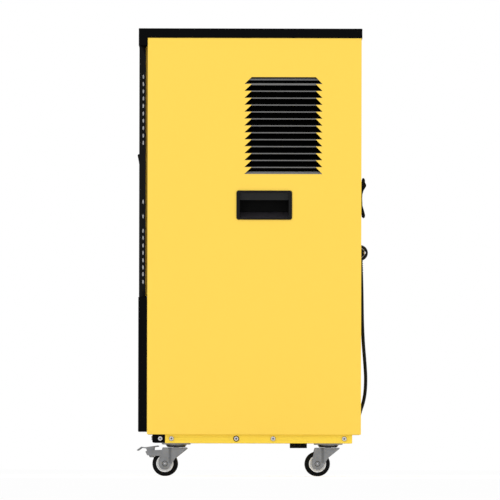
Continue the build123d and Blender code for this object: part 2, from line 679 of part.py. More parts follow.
cord_tail = cord_tube(tail_points, "tail")
cord_tail.part.label = "cord_tail"
export_step(cord_tail.part, "parts/cord_tail.step")

with BuildPart() as cord_coil:
    with BuildSketch(Plane.XZ.offset(-coil_y0)):
        with Locations((coil_x, coil_z)):
            Circle(coil_out)
            Circle(coil_in, mode=Mode.SUBTRACT)
    extrude(amount=-(coil_y1 - coil_y0))
cord_coil.part.label = "cord_coil"
export_step(cord_coil.part, "parts/cord_coil.step")

with BuildPart() as cord_tie:
    slab(coil_x - 5, coil_x + 5, 201.6, 218.5, coil_z - 51.6, coil_z - 19.6)
    slab(coil_x - 6, coil_x + 6, coil_y0, coil_y1, coil_z - 50.35, coil_z - 20.7, mode=Mode.SUBTRACT)
cord_tie.part.label = "cord_tie"
export_step(cord_tie.part, "parts/cord_tie.step")

with BuildPart() as plug:
    with BuildSketch(Plane.YZ.offset(plug_x - 13)):
        with Locations((plug_y, plug_z)):
            Circle(plug_r)
    extrude(amount=26)
    fillet(plug.faces().sort_by(Axis.X)[0].edges(), 4)
    with BuildSketch(Plane.XY.offset(436.5)):
        with Locations((plug_x, plug_y)):
            Circle(5.6)
    with BuildSketch(Plane(origin=tail_points[-1], z_dir=Vector(*tail_points[-1]) - Vector(*tail_points[-2]))):
        Circle(4.2)
    loft()
    # two round pins
    with BuildSketch(Plane.YZ.offset(plug_x + 13)):
        with Locations((plug_y - 9.5, plug_z), (plug_y + 9.5, plug_z)):
            Circle(2.4)
    extrude(amount=19)
plug.part.label = "plug"
export_step(plug.part, "parts/plug.step")

# ---------------------------------------------------------------- screws
screw_ys = (-182.0, -159.6, -30.0, 43.8, 186.2)
with BuildPart() as panel_screws:
    for s in (-1, 1):
        for y in screw_ys:
            with BuildSketch(Plane(origin=(s * base_half, y, 75.0), x_dir=(0, 1, 0), z_dir=(s, 0, 0))):
                Circle(5.0)
            extrude(amount=1.6)
            with BuildSketch(Plane(origin=(s * (base_half + 1.6), y, 75.0), x_dir=(0, 1, 0), z_dir=(s, 0, 0))):
                Circle(4.2)
            extrude(amount=1.4)
            with BuildSketch(Plane(origin=(s * base_half, y, 75.0), x_dir=(0, 1, 0), z_dir=(s, 0, 0))):
                Circle(2.4)
            extrude(amount=-9)
    for x in (-215, 215):
        with BuildSketch(Plane.XZ.offset(-bar_front)):
            with Locations((x, 76.2)):
                Circle(4.4)
        extrude(amount=2.6)
        with BuildSketch(Plane.XZ.offset(-bar_front)):
            with Locations((x, 76.2)):
                Circle(2.4)
        extrude(amount=-9)
panel_screws.part.label = "panel_screws"
export_step(panel_screws.part, "parts/panel_screws.step")

# ---------------------------------------------------------------- casters
casters = {
    "front_left": (caster_x, front_swivel_y),
    "front_right": (-caster_x, front_swivel_y),
    "rear_left": (caster_x, rear_swivel_y),
    "rear_right": (-caster_x, rear_swivel_y),
}
with BuildPart() as caster_plates:
    for x, y in casters.values():
        with BuildSketch(Plane.XY.offset(63.5)):
            with Locations((x, y)):
                RectangleRounded(56, 56, 5)
        extrude(amount=2.5)
        with BuildSketch(Plane.XY.offset(58.2)):
            with Locations((x, y)):
                Circle(17)
        with BuildSketch(Plane.XY.offset(63.5)):
            with Locations((x, y)):
                Circle(21)
        loft()
        with BuildSketch(Plane.XY.offset(52.6)):
            with Locations((x, y)):
                Circle(5.0)
        extrude(amount=6)
        with BuildSketch(Plane.XY.offset(51.4)):
            with Locations((x, y)):
                Circle(7.5)
        extrude(amount=2.6)
caster_plates.part.label = "caster_plates"
export_step(caster_plates.part, "parts/caster_plates.step")

leg_in, leg_out = 12.4, 14.6
for caster_name, (cx, sy) in casters.items():
    wy = sy - trail
    braked = caster_name.startswith("front")
    with BuildPart() as fork:
        # crown under the swivel bearing
        with BuildSketch(Plane.XY.offset(54.6)):
            with Locations((cx, (wy - 3.4 + wy + 44.0) / 2)):
                Rectangle(2 * leg_out, 47.4)
            with Locations((cx, sy)):
                Circle(21)
        extrude(amount=2.8)
        # two legs
        with BuildSketch(Plane.YZ.offset(cx - leg_out)):
            with BuildLine():
                Polyline((wy - 4.4, 57.4), (wy + 44.0, 57.4), (wy + 44.0, 55.0), (wy + 22.4, 37.6), (wy + 14.0, 25.0), (wy - 12.0, 25.0), (wy - 11.6, 30.0), (wy - 6.0, 53.0), close=True)
            make_face()
            with Locations((wy, wheel_r)):
                Circle(12.2)
            if braked:
                with BuildLine():
                    Polyline((wy - 4.4, 52.6), (wy - 34.0, 51.6), (wy - 39.0, 49.0), (wy - 35.6, 41.6), (wy - 24.0, 40.4), (wy - 8.4, 40.4), close=True)
                make_face()
        extrude(amount=2 * leg_out)
        slab(cx - leg_in, cx + leg_in, wy - 60, wy + 60, 0, 54.6, mode=Mode.SUBTRACT)
        # hole for the king pin
        with BuildSketch(Plane.XY.offset(54)):
            with Locations((cx, sy)):
                Circle(5.4)
        extrude(amount=4, mode=Mode.SUBTRACT)
        # pressed ribs
        for s in (-1, 1):
            with BuildSketch(Plane(origin=(cx + s * leg_out, wy, 0), x_dir=(0, s, 0), z_dir=(s, 0, 0))):
                with Locations((s * 10.4, 41.0)):
                    RectangleRounded(5.2, 29.0, 2.0)
            extrude(amount=1.0)
        # riveted axle
        with BuildSketch(Plane.YZ.offset(cx - leg_out - 2.4)):
            with Locations((wy, wheel_r)):
                Circle(4.6)
        extrude(amount=2.4)
        with BuildSketch(Plane.YZ.offset(cx + leg_out)):
            with Locations((wy, wheel_r)):
                Circle(4.6)
        extrude(amount=2.4)
        with BuildSketch(Plane.YZ.offset(cx - leg_out)):
            with Locations((wy, wheel_r)):
                Circle(3.0)
        extrude(amount=2 * leg_out)
        if braked:
            with BuildSketch(Plane.YZ.offset(cx - leg_out - 1.0)):
                with Locations((wy - 27.8, 47.6)):
                    Circle(2.5)
            extrude(amount=2 * leg_out + 2.0)
    fork.part.label = f"caster_{caster_name}_fork"
    export_step(fork.part, f"parts/caster_{caster_name}_fork.step")

    with BuildPart() as wheel:
        with BuildSketch(Plane.XY):
            with BuildLine():
                Polyline((3.05, -11.6), (7.5, -11.6), (7.5, -8.0), (14.6, -8.0), (15.6, -9.2), (17.2, -9.2), (17.2, 9.2), (15.6, 9.2), (14.6, 8.0), (7.5, 8.0), (7.5, 11.6), (3.05, 11.6), close=True)
            make_face()
        revolve(axis=Axis.Y)
    with BuildPart() as rim:
        add(wheel.part.rotate(Axis.Z, 90).moved(Location((cx, wy, wheel_r))))
    rim.part.label = f"caster_{caster_name}_wheel"
    export_step(rim.part, f"parts/caster_{caster_name}_wheel.step")

    with BuildPart() as tyre:
        with BuildSketch(Plane.YZ.offset(cx - 9.6)):
            with Locations((wy, wheel_r)):
                Circle(wheel_r)
                Circle(17.2, mode=Mode.SUBTRACT)
        extrude(amount=19.2)
        fillet(tyre.edges().filter_by(GeomType.CIRCLE).filter_by(lambda e: abs(e.radius - wheel_r) < 0.01), 3.6)
    tyre.part.label = f"caster_{caster_name}_tyre"
    export_step(tyre.part, f"parts/caster_{caster_name}_tyre.step")

    if braked:
        py, pz = wy - 27.8, 47.6
        with BuildPart() as pedal:
            # tread plate
            with BuildSketch(Plane.YZ.offset(cx - 11.4)):
                with BuildLine():
                    Polyline(
                        (py + 14.4, 61.4), (py - 12.0, 57.6), (py - 19.4, 58.8), (py - 28.6, 52.0), (py - 27.4, 50.4),
                        (py - 19.2, 56.4), (py - 12.0, 55.4), (py - 4.4, 56.4), (py + 14.4, 59.2), close=True,
                    )
                make_face()
            extrude(amount=22.8)
            # two cheeks down to the pivot, joined by the shoe that meets the tyre
            with BuildSketch(Plane.YZ.offset(cx - 11.4)):
                with BuildLine():
                    Polyline((py + 6.0, 58.6), (py - 10.0, 56.2), (py - 6.0, 44.0), (py - 2.4, 37.4), (py + 4.0, 37.4), (py + 4.8, 41.0), (py + 4.8, 47.0), close=True)
                make_face()
            extrude(amount=22.8)
            slab(cx - 9.4, cx + 9.4, py - 20, py + 20, 40.6, 55.2, mode=Mode.SUBTRACT)
            with BuildSketch(Plane.YZ.offset(cx - 12)):
                with Locations((py, pz)):
                    Circle(2.56)
            extrude(amount=24, mode=Mode.SUBTRACT)
        pedal.part.label = f"caster_{caster_name}_brake"
        export_step(pedal.part, f"parts/caster_{caster_name}_brake.step")
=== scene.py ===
import math

import bmesh
import bpy
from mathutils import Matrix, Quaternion, Vector


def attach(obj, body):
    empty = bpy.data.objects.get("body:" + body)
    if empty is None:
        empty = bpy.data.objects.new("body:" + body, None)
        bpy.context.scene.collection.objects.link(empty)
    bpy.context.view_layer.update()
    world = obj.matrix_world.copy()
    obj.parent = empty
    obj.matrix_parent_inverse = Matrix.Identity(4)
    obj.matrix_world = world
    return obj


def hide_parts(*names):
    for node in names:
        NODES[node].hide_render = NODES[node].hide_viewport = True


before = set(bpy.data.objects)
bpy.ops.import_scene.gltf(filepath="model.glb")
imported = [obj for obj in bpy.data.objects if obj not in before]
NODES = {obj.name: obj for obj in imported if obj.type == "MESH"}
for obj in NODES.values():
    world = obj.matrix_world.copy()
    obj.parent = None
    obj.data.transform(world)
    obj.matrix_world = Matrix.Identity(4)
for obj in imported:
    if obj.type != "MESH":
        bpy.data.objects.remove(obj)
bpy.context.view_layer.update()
scene = bpy.context.scene
scene.view_settings.view_transform = "Standard"
scene.view_settings.look = "None"


# ------------------------------------------------------------------ camera
DIST = 36.0
aim = Vector((0.240, -0.0032, 0.4524))
eye = Vector((0.240 + DIST, -0.0032, 0.020))
cam_data = bpy.data.cameras.new("camera")
cam_data.sensor_width = 36.0
cam_data.lens = 36.0 * (eye - aim).length / 1.0
cam_data.clip_start, cam_data.clip_end = 0.1, 400.0
camera = bpy.data.objects.new("camera", cam_data)
camera.location = eye
camera.rotation_mode = "QUATERNION"
# the picture is turned an eighth of a degree clockwise
camera.rotation_quaternion = (aim - eye).to_track_quat("-Z", "Y") @ Quaternion((0, 0, 1), math.radians(0.12))
scene.collection.objects.link(camera)
scene.camera = camera


# ------------------------------------------------------------------ materials
def socket(node, name, value):
    node.inputs[name].default_value = value


def finish_material(
    name, color, rough, metal=0.0, spec=0.5, vary=0.04, vary_scale=6.0, rough_vary=0.05, rough_scale=40.0,
    bump=0.0, bump_scale=900.0, bump_detail=2.0, stretch=(1, 1, 1), coat=0.0, coat_rough=0.1, tint=None, sheen=0.0,
):
    """A procedural finish: colour that drifts a little, roughness that varies, and a fine surface bump."""
    m = bpy.data.materials.new(name)
    m.use_nodes = True
    t = m.node_tree
    shader = t.nodes["Principled BSDF"]
    coord = t.nodes.new("ShaderNodeTexCoord")
    mapping = t.nodes.new("ShaderNodeMapping")
    mapping.inputs["Scale"].default_value = stretch
    t.links.new(coord.outputs["Object"], mapping.inputs["Vector"])

    def noise(scale, detail=2.0, rough_=0.5):
        n = t.nodes.new("ShaderNodeTexNoise")
        n.inputs["Scale"].default_value = scale
        n.inputs["Detail"].default_value = detail
        n.inputs["Roughness"].default_value = rough_
        t.links.new(mapping.outputs["Vector"], n.inputs["Vector"])
        return n

    wide = noise(vary_scale, 3.0)
    mix = t.nodes.new("ShaderNodeMix")
    mix.data_type = "RGBA"
    low = [max(0.0, c * (1 - vary)) for c in color]
    high = [min(1.0, c * (1 + vary)) for c in (tint or color)]
    mix.inputs["A"].default_value = (*low, 1)
    mix.inputs["B"].default_value = (*high, 1)
    t.links.new(wide.outputs["Fac"], mix.inputs["Factor"])
    t.links.new(mix.outputs["Result"], shader.inputs["Base Color"])
    fine = noise(rough_scale, 4.0)
    rmap = t.nodes.new("ShaderNodeMapRange")
    rmap.inputs["From Min"].default_value = 0.3
    rmap.inputs["From Max"].default_value = 0.7
    rmap.inputs["To Min"].default_value = max(0.02, rough - rough_vary)
    rmap.inputs["To Max"].default_value = min(1.0, rough + rough_vary)
    t.links.new(fine.outputs["Fac"], rmap.inputs["Value"])
    t.links.new(rmap.outputs["Result"], shader.inputs["Roughness"])
    if bump:
        grain = noise(bump_scale, bump_detail)
        b = t.nodes.new("ShaderNodeBump")
        b.inputs["Strength"].default_value = bump
        b.inputs["Distance"].default_value = 0.0004
        t.links.new(grain.outputs["Fac"], b.inputs["Height"])
        t.links.new(b.outputs["Normal"], shader.inputs["Normal"])
    socket(shader, "Metallic", metal)
    socket(shader, "Specular IOR Level", spec)
    if coat:
        socket(shader, "Coat Weight", coat)
        socket(shader, "Coat Roughness", coat_rough)
    if sheen:
        socket(shader, "Sheen Weight", sheen)
    return m


M = {
    "yellow": finish_material("powder_yellow", (0.968, 0.660, 0.084), 0.42, spec=0.30, vary=0.010, vary_scale=2.5, bump=0.10, bump_scale=1400, rough_vary=0.04),
    "yellow_base": finish_material("powder_yellow_base", (0.985, 0.700, 0.066), 0.45, spec=0.25, vary=0.015, vary_scale=6, bump=0.10, bump_scale=1400),
    "black": finish_material("powder_black", (0.0017, 0.0017, 0.0020), 0.42, spec=0.035, vary=0.05, vary_scale=3, bump=0.22, bump_scale=1500, rough_vary=0.012),
    "grille": finish_material("powder_black_mesh", (0.0036, 0.0036, 0.0038), 0.45, spec=0.080, vary=0.10, vary_scale=10, bump=0.15, bump_scale=1500),
    "plastic": finish_material("moulded_black", (0.0030, 0.0030, 0.0032), 0.45, spec=0.090, vary=0.12, vary_scale=30, bump=0.30, bump_scale=2600, bump_detail=4, rough_vary=0.06),
    # the grey edge and top finishes are lighter copies of the louvre's black plastic: painted highlight on the
    # slats' front edges, painted light on the top band and the sill
    "slat": finish_material("slat_edge_painted_highlight", (0.155, 0.155, 0.153), 0.40, spec=0.25, vary=0.10, vary_scale=60, bump=0.15, bump_scale=2600),
    "slat_black": finish_material("slat_black", (0.0012, 0.0012, 0.0012), 0.60, spec=0.012, vary=0.10, vary_scale=30, bump=0.2, bump_scale=2600),
    "slat_top_painted_light": finish_material("slat_top_painted_light", (0.200, 0.202, 0.208), 0.40, spec=0.25, vary=0.12, vary_scale=30, bump=0.2, bump_scale=2600),
    "cup": finish_material("cup_black", (0.0060, 0.0058, 0.0056), 0.38, spec=0.12, vary=0.12, vary_scale=30, bump=0.30, bump_scale=2600, bump_detail=4),
    # darker and lighter copies of the cup's black plastic: painted shade for the back wall, painted light for the
    # sloped floor and the lip band
    "cup_wall_painted_shade": finish_material("cup_wall_painted_shade", (0.0036, 0.0036, 0.0034), 0.50, spec=0.040, vary=0.12, vary_scale=30, bump=0.30, bump_scale=2600, bump_detail=4),
    "cup_floor_painted_light": finish_material("cup_floor_painted_light", (0.034, 0.031, 0.036), 0.42, spec=0.30, vary=0.12, vary_scale=30, bump=0.30, bump_scale=2600, bump_detail=4),
    "cup_lip_painted_light": finish_material("cup_lip_painted_light", (0.013, 0.014, 0.014), 0.38, spec=0.15, vary=0.12, vary_scale=30, bump=0.25, bump_scale=2600, bump_detail=4),
    "glass": finish_material("display_black", (0.004, 0.004, 0.006), 0.06, spec=0.5, vary=0.05, rough_vary=0.02, coat=0.6, coat_rough=0.03),
    "button": finish_material("button_grey", (0.17, 0.17, 0.18), 0.45, spec=0.4, vary=0.05, vary_scale=80, bump=0.2, bump_scale=2600),
    "filter": finish_material("filter_mesh", (0.020, 0.021, 0.023), 0.85, spec=0.1, vary=0.3, vary_scale=350, bump=0.5, bump_scale=900, sheen=0.1),
    "filter_frame": finish_material("filter_frame", (0.60, 0.60, 0.61), 0.42, spec=0.4, vary=0.06, vary_scale=40, bump=0.15, bump_scale=1800),
    "galv": finish_material("galvanised", (0.235, 0.24, 0.25), 0.34, metal=0.88, spec=0.5, vary=0.22, vary_scale=70, bump=0.25, bump_scale=500, rough_vary=0.10, rough_scale=90),
    # a darker galvanised: its own finish on the inner sheet parts, and painted shade on the caster fork ribs and in
    # the screw recesses
    "galv_dark": finish_material("galvanised_dull_and_painted_shade", (0.16, 0.165, 0.175), 0.48, metal=0.7, spec=0.5, vary=0.25, vary_scale=90, bump=0.25, bump_scale=500, rough_vary=0.10, rough_scale=90),
    "zinc": finish_material("zinc_bright", (0.60, 0.60, 0.63), 0.24, metal=0.92, spec=0.5, vary=0.10, vary_scale=200, bump=0.10, bump_scale=1200, rough_vary=0.07, rough_scale=300),
    "fin": finish_material("fin_stock", (0.62, 0.63, 0.65), 0.38, metal=0.9, spec=0.5, vary=0.08, vary_scale=20, bump=0.10, bump_scale=500),
    "copper": finish_material("copper_tube", (0.72, 0.30, 0.15), 0.30, metal=0.95, spec=0.5, vary=0.14, vary_scale=40, bump=0.12, bump_scale=600, rough_vary=0.10),
    "fan": finish_material("fan_grey", (0.11, 0.11, 0.12), 0.5, spec=0.4, vary=0.08, vary_scale=30, bump=0.2, bump_scale=2000),
    "motor": finish_material("motor_enamel", (0.05, 0.05, 0.055), 0.40, spec=0.4, vary=0.10, vary_scale=30, bump=0.2, bump_scale=700),
    "comp": finish_material("compressor_enamel", (0.010, 0.010, 0.011), 0.22, spec=0.5, vary=0.10, vary_scale=20, bump=0.20, bump_scale=300, coat=0.3),
    "rubber": finish_material("mount_rubber", (0.012, 0.012, 0.012), 0.75, spec=0.25, vary=0.2, vary_scale=90, bump=0.3, bump_scale=1200),
    "hose": finish_material("clear_hose", (0.42, 0.45, 0.44), 0.25, spec=0.5, vary=0.08, vary_scale=30, bump=0.1, bump_scale=500),
    "tray": finish_material("tray_grey", (0.30, 0.31, 0.32), 0.5, spec=0.4, vary=0.05, vary_scale=30, bump=0.2, bump_scale=1800),
    "cord": finish_material("cord_sheath", (0.0034, 0.0034, 0.0036), 0.42, spec=0.13, vary=0.15, vary_scale=120, bump=0.15, bump_scale=1600, rough_vary=0.08, rough_scale=160),
    "plug": finish_material("plug_black", (0.0055, 0.0055, 0.0060), 0.36, spec=0.22, vary=0.15, vary_scale=90, bump=0.25, bump_scale=2200),
    "tyre": finish_material("tyre_black", (0.0035, 0.0035, 0.0037), 0.55, spec=0.080, vary=0.20, vary_scale=120, bump=0.35, bump_scale=1400, rough_vary=0.10, rough_scale=120),
    "wheel": finish_material("wheel_white", (0.97, 0.97, 0.97), 0.28, spec=0.5, vary=0.04, vary_scale=80, bump=0.12, bump_scale=1400, rough_vary=0.08),
    "led": finish_material("led_green", (0.05, 0.55, 0.20), 0.3, spec=0.5, vary=0.05),
    "print": finish_material("print_white", (0.62, 0.62, 0.62), 0.5, spec=0.3, vary=0.04),
    "floor": finish_material("pale_floor", (0.985, 0.985, 0.985), 0.85, spec=0.0, vary=0.003, vary_scale=1.5),
}


# ------------------------------------------------------------------ mesh helpers
def link(o):
    scene.collection.objects.link(o)
    return o


def as_object(bm, name, mats, smooth=True, angle=35):
    bmesh.ops.recalc_face_normals(bm, faces=bm.faces)
    mesh = bpy.data.meshes.new(name)
    bm.to_mesh(mesh)
    bm.free()
    for m in mats:
        mesh.materials.append(m)
    if smooth:
        for p in mesh.polygons:
            p.use_smooth = True
        mesh.set_sharp_from_angle(angle=math.radians(angle))
    return link(bpy.data.objects.new(name, mesh))


def bevel(o, width, segments=2, angle=40):
    b = o.modifiers.new("bevel", "BEVEL")
    b.width, b.segments, b.limit_method, b.angle_limit = width, segments, "ANGLE", math.radians(angle)
    b.harden_normals = False
    w = o.modifiers.new("normals", "WEIGHTED_NORMAL")
    w.keep_sharp = False
    return o


def prism(bm, outline, lo, hi, axes="XY", mat=0):
    """Extrudes a closed outline of (u, v) points from lo to hi along the third axis."""
    along = ({0, 1, 2} - {"XYZ".index(axes[0]), "XYZ".index(axes[1])}).pop()

    def put(u, v, w):
        c = [0, 0, 0]
        c["XYZ".index(axes[0])], c["XYZ".index(axes[1])], c[along] = u, v, w
        return bm.verts.new(c)

    a = [put(u, v, lo) for u, v in outline]
    b = [put(u, v, hi) for u, v in outline]
    n = len(outline)
    made = [bm.faces.new(a), bm.faces.new(list(reversed(b)))]
    for i in range(n):
        made.append(bm.faces.new((a[i], a[(i + 1) % n], b[(i + 1) % n], b[i])))
    for f in made:
        f.material_index = mat
    return made


def block(bm, x0, x1, y0, y1, z0, z1, mat=0):
    return prism(bm, [(x0, y0), (x1, y0), (x1, y1), (x0, y1)], z0, z1, "XY", mat)


def circle(r, n=32, cx=0.0, cy=0.0, start=0.0):
    return [(cx + r * math.cos(start + 2 * math.pi * i / n), cy + r * math.sin(start + 2 * math.pi * i / n)) for i in range(n)]


def lathe(bm, profile, centre, axis, n=48, mat=0, closed=False):
    """Revolves (radius, height) points about an axis through centre. A radius of 0 closes the end."""
    axis = Vector(axis).normalized()
    u = axis.orthogonal().normalized()
    v = axis.cross(u)
    centre = Vector(centre)
    rings = []
    for r, h in profile:
        if r < 1e-7:
            rings.append([bm.verts.new(centre + axis * h)])
        else:
            rings.append([bm.verts.new(centre + axis * h + (u * math.cos(2 * math.pi * i / n) + v * math.sin(2 * math.pi * i / n)) * r) for i in range(n)])
    pairs = list(zip(rings, rings[1:])) + ([(rings[-1], rings[0])] if closed else [])
    for a, b in pairs:
        for i in range(n):
            j = (i + 1) % n
            if len(a) == 1 and len(b) == 1:
                continue
            if len(a) == 1:
                f = bm.faces.new((a[0], b[j], b[i]))
            elif len(b) == 1:
                f = bm.faces.new((a[i], a[j], b[0]))
            else:
                f = bm.faces.new((a[i], a[j], b[j], b[i]))
            f.material_index = mat
    return bm


def tube(bm, points, radius, n=12, mat=0, cap=True):
    """A round bar along points."""
    pts = [Vector(p) for p in points]
    rings = []
    up = None
    for i, p in enumerate(pts):
        d = ((pts[min(i + 1, len(pts) - 1)] - p).normalized() + (p - pts[max(i - 1, 0)]).normalized()).normalized()
        up = (d.orthogonal() if up is None else (up - d * up.dot(d))).normalized()
        side = d.cross(up)
        rings.append([bm.verts.new(p + (up * math.cos(2 * math.pi * k / n) + side * math.sin(2 * math.pi * k / n)) * radius) for k in range(n)])
    for a, b in zip(rings, rings[1:]):
        for i in range(n):
            f = bm.faces.new((a[i], a[(i + 1) % n], b[(i + 1) % n], b[i]))
            f.material_index = mat
    if cap:
        for r in (rings[0], rings[-1]):
            f = bm.faces.new(r)
            f.material_index = mat
    return bm


# ------------------------------------------------------------------ carried-over CAD nodes
def finish_node(name, mat, width=0.0004, angle=40):
    o = NODES[name]
    mesh = o.data
    if "custom_normal" in mesh.attributes:
        mesh.attributes.remove(mesh.attributes["custom_normal"])
    mesh.materials.clear()
    mesh.materials.append(M[mat])
    for p in mesh.polygons:
        p.use_smooth = True
        p.material_index = 0
    w = o.modifiers.new("weld", "WELD")
    w.merge_threshold = 0.000004
    if width:
        b = o.modifiers.new("bevel", "BEVEL")
        b.width, b.segments, b.limit_method, b.angle_limit = width, 2, "ANGLE", math.radians(angle)
        b.use_clamp_overlap = True
    n = o.modifiers.new("normals", "WEIGHTED_NORMAL")
    n.keep_sharp = False
    return o


CARRIED = {
    "base_pan": ("yellow_base", 0.0003), "base_front_bar": ("black", 0.0003), "drain_outlet": ("plastic", 0.0005),
    "side_panel_left": ("yellow", 0.0), "side_panel_right": ("yellow", 0.0),
    "rear_panel": ("yellow", 0.0003), "top_lid": ("black", 0.0003), "control_bezel": ("plastic", 0.0003),
    "display_window": ("glass", 0.0003), "button_power": ("button", 0.0), "button_mode": ("button", 0.0),
    "button_up": ("button", 0.0), "button_down": ("button", 0.0), "front_frame": ("black", 0.0),
    "grille_pull": ("plastic", 0.0005), "lower_front_panel": ("black", 0.0003), "mid_deck": ("galv_dark", 0.0),
    "drip_tray": ("tray", 0.0004), "drain_hose": ("hose", 0.0), "fan_shroud": ("galv_dark", 0.0),
    "fan_motor": ("motor", 0.0005), "fan_impeller": ("fan", 0.0), "compressor": ("comp", 0.0008),
    "compressor_mounts": ("rubber", 0.0004), "discharge_pipe": ("copper", 0.0), "suction_pipe": ("copper", 0.0),
    "liquid_line": ("copper", 0.0), "electrical_box": ("motor", 0.0006), "plug_clip": ("plastic", 0.0004),
    "cord_cleat": ("plastic", 0.0008), "cord_gland": ("plastic", 0.0005), "cord_tie": ("plastic", 0.0004),
    "handle_cup_left": ("cup", 0.0004), "handle_cup_right": ("cup", 0.0004), "caster_plates": ("galv", 0.0003),
}
CASTERS = {"front_left": (0.196, -0.1508), "front_right": (-0.196, -0.1508), "rear_left": (0.196, 0.1548), "rear_right": (-0.196, 0.1548)}
for node, (mat, width) in CARRIED.items():
    finish_node(node, mat, width)
# painted light and shade inside the cup: the back wall gets a darker copy of the black plastic as painted shade,
# the sloped floor and the lip band lighter copies as painted light
for side in ("left", "right"):
    mesh = NODES[f"handle_cup_{side}"].data
    for m in ("cup_wall_painted_shade", "cup_floor_painted_light", "cup_lip_painted_light"):
        mesh.materials.append(M[m])
    turn = NODES[f"handle_cup_{side}"].matrix_world
    for p in mesh.polygons:
        c, n = turn @ p.center, (turn.to_3x3() @ p.normal).normalized()
        if abs(c.x) < 0.2365:
            if n.z > 0.25 and c.z < 0.531:
                p.material_index = 2
            elif abs(c.z - 0.5560) < 0.013 and abs(n.x) > 0.3 and abs(c.x) > 0.215:
                p.material_index = 3
            else:
                p.material_index = 1
for c in CASTERS:
    o = finish_node(f"caster_{c}_fork", "galv", 0.0003)
    # painted shade: the pressed ribs get the darker galvanised, so they read darker than the legs
    o.data.materials.append(M["galv_dark"])
    turn = o.matrix_world
    for p in o.data.polygons:
        q, n = turn @ p.center, (turn.to_3x3() @ p.normal).normalized()
        if abs(q.x - CASTERS[c][0]) > 0.0147 and 0.022 < q.z < 0.058 and abs(n.z) < 0.35 and abs(q.y - CASTERS[c][1] + 0.0116) < 0.0034:
            p.material_index = 1
    if c.startswith("front"):
        finish_node(f"caster_{c}_brake", "galv", 0.0003)


# ------------------------------------------------------------------ intake grille: folded sheet with fine staggered slots
GX, GY0, GY1, GZ0, GZ1 = 0.2380, -0.2252, -0.2122, 0.3588, 0.8596
SHEET = 0.0012
PITCH_U, PITCH_V = 0.0084, 0.0145
RETURN_ZS = [(476.2 - y) * 0.002 for y in (77, 84.2, 91.5, 98.6, 106, 113.6, 120.9, 128.3, 135.8, 143, 202, 216.5, 231, 238, 245.7, 253, 260.5, 267.5, 274.5, 282)]


def cell(bm, put, u0, u1, v0, v1, cu, cv, a, b, mat=0):
    """One rectangle with an obround hole, a half wide and b half high, as sixteen quads."""
    du, dv = (u1 - u0) / 4, (v1 - v0) / 4
    rim = [(u1, v0), (u1, v0 + dv), (u1, v0 + 2 * dv), (u1, v0 + 3 * dv), (u1, v1), (u1 - du, v1), (u1 - 2 * du, v1), (u1 - 3 * du, v1),
           (u0, v1), (u0, v1 - dv), (u0, v1 - 2 * dv), (u0, v1 - 3 * dv), (u0, v0), (u0 + du, v0), (u0 + 2 * du, v0), (u0 + 3 * du, v0)]
    s = b - a
    hole = []
    for k in range(16):
        if k in (1, 2, 3):
            hole.append((cu + a, cv + s * (k - 2) / 1.0))
        elif k in (9, 10, 11):
            hole.append((cu - a, cv - s * (k - 10) / 1.0))
        else:
            ang = math.radians({0: -45, 4: 45, 5: 67.5, 6: 90, 7: 112.5, 8: 135, 12: 225, 13: 247.5, 14: 270, 15: 292.5}[k])
            hole.append((cu + a * math.cos(ang), cv + (s if math.sin(ang) > 0 else -s) + a * math.sin(ang)))
    rv, hv = [put(*p) for p in rim], [put(*p) for p in hole]
    for k in range(16):
        j = (k + 1) % 16
        f = bm.faces.new((rv[k], rv[j], hv[j], hv[k]))
        f.material_index = mat


